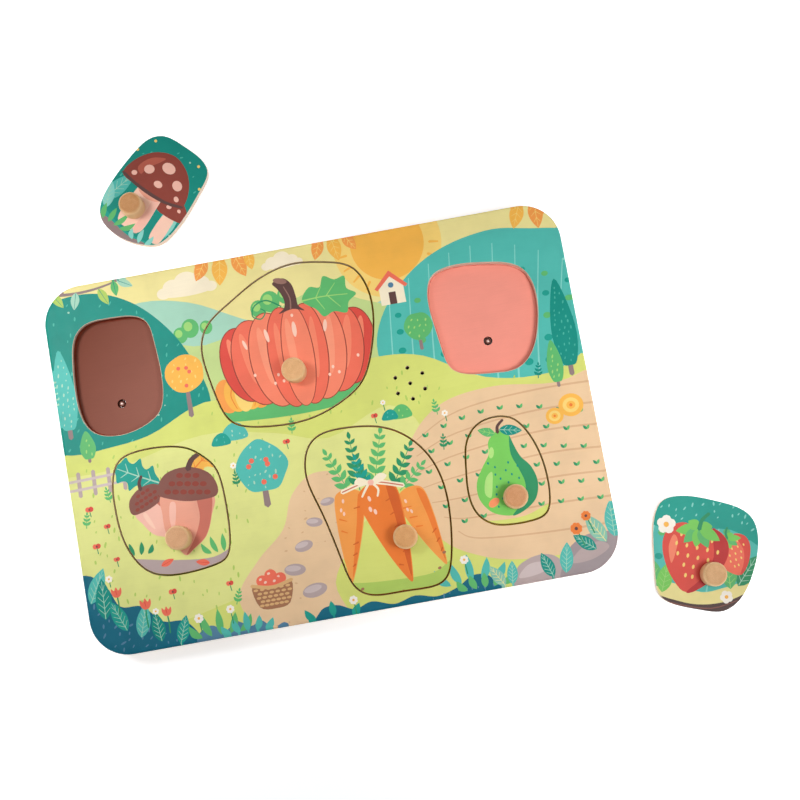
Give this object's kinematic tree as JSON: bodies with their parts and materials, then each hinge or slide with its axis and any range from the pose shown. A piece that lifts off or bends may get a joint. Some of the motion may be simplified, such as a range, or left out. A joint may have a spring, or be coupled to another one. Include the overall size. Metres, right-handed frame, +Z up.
{
  "type": "peg puzzle",
  "caption": "Hollow wooden board with shaped recesses, knobbed pieces that lift out, light sensors and a small speaker grille that plays a sound as a piece goes home.",
  "frame": {"origin": "centre of the board's underside, where it stands on a table", "axes": "+X along the board's width to the right, +Y across the board to the top of the picture, +Z up out of the printed face"},
  "size_m": [0.3755, 0.3279, 0.034],
  "materials": {
    "top_ply": "plywood edge under a satin print",
    "piece_ply": "plywood edge under a satin print",
    "floor_paint": "thin matt paint, a different colour in each recess",
    "rail_mdf": "sanded wood",
    "rib_mdf": "raw board",
    "bottom_ply": "sanded plywood",
    "beech": "turned beech, oiled",
    "screw_steel": "zinc plated",
    "black_plastic": "moulded",
    "door_plastic": "moulded, fine texture",
    "cell_wrap": "plain wrapped cell",
    "contact_metal": "nickel plated",
    "board_green": "lacquered circuit board",
    "white_plastic": "moulded",
    "chip_black": "potting resin",
    "capacitor_blue": "sleeve",
    "cable_red": "cable jacket",
    "cable_yellow": "cable jacket",
    "cable_black": "cable jacket",
    "clear_lens": "clear moulded lens",
    "foam": "foam ring",
    "speaker_metal": "pressed sheet",
    "magnet_metal": "plated",
    "cone_paper": "treated paper",
    "switch_metal": "pressed shell",
    "slider_plastic": "moulded"
  },
  "bodies": {
    "board": {"top_panel": "top_ply", "recess_floor": "floor_paint", "rail_back": "rail_mdf", "rail_front": "rail_mdf", "rail_left": "rail_mdf", "rail_right": "rail_mdf", "rib_left": "rib_mdf", "rib_right": "rib_mdf", "bottom_panel": "bottom_ply", "panel_screws": "screw_steel", "battery_box": "black_plastic", "battery_box_screws": "screw_steel", "battery_1": "cell_wrap", "battery_2": "cell_wrap", "contact_plates": "contact_metal", "contact_springs": "contact_metal", "circuit_board": "board_green", "board_spacers": "white_plastic", "board_screws": "screw_steel", "sound_chip": "chip_black", "capacitor": "capacitor_blue", "cable_connectors": "white_plastic", "sensor_cables": "cable_red", "speaker_cable": "cable_yellow", "power_cables": "cable_black", "light_sensors": "clear_lens", "speaker_gasket": "foam", "speaker_frame": "speaker_metal", "speaker_magnet": "magnet_metal", "speaker_cone": "cone_paper", "switch_body": "switch_metal"},
    "door": {"battery_door": "door_plastic", "battery_door_screw": "screw_steel"},
    "slider": {"switch_slider": "slider_plastic"},
    "pumpkin_piece": {"pumpkin_plate": "piece_ply", "pumpkin_peg": "beech", "pumpkin_screw": "screw_steel"},
    "acorn_piece": {"acorn_plate": "piece_ply", "acorn_peg": "beech", "acorn_screw": "screw_steel"},
    "carrot_piece": {"carrot_plate": "piece_ply", "carrot_peg": "beech", "carrot_screw": "screw_steel"},
    "pear_piece": {"pear_plate": "piece_ply", "pear_peg": "beech", "pear_screw": "screw_steel"},
    "mushroom_piece": {"mushroom_plate": "piece_ply", "mushroom_peg": "beech", "mushroom_screw": "screw_steel"},
    "strawberry_piece": {"strawberry_plate": "piece_ply", "strawberry_peg": "beech", "strawberry_screw": "screw_steel"}
  },
  "joints": [
    {"name": "pumpkin_lift", "type": "slide", "parent": "board", "child": "pumpkin_piece", "axis": [0, 0, 1], "range_m": [0, 0.05]},
    {"name": "acorn_lift", "type": "slide", "parent": "board", "child": "acorn_piece", "axis": [0, 0, 1], "range_m": [0, 0.05]},
    {"name": "carrot_lift", "type": "slide", "parent": "board", "child": "carrot_piece", "axis": [0, 0, 1], "range_m": [0, 0.05]},
    {"name": "pear_lift", "type": "slide", "parent": "board", "child": "pear_piece", "axis": [0, 0, 1], "range_m": [0, 0.05]},
    {"name": "mushroom_lift", "type": "slide", "parent": "board", "child": "mushroom_piece", "axis": [0, 0, 1], "range_m": [0, 0.05]},
    {"name": "strawberry_lift", "type": "slide", "parent": "board", "child": "strawberry_piece", "axis": [0, 0, 1], "range_m": [0, 0.05]},
    {"name": "battery_door_swing", "type": "hinge", "parent": "board", "child": "door", "pos_m": [-0.0652, -0.01, 0.001], "axis": [0, 1, 0], "range_deg": [0, 90]},
    {"name": "power_switch_slide", "type": "slide", "parent": "board", "child": "slider", "axis": [1, 0, 0], "range_m": [0, 0.004]}
  ]
}
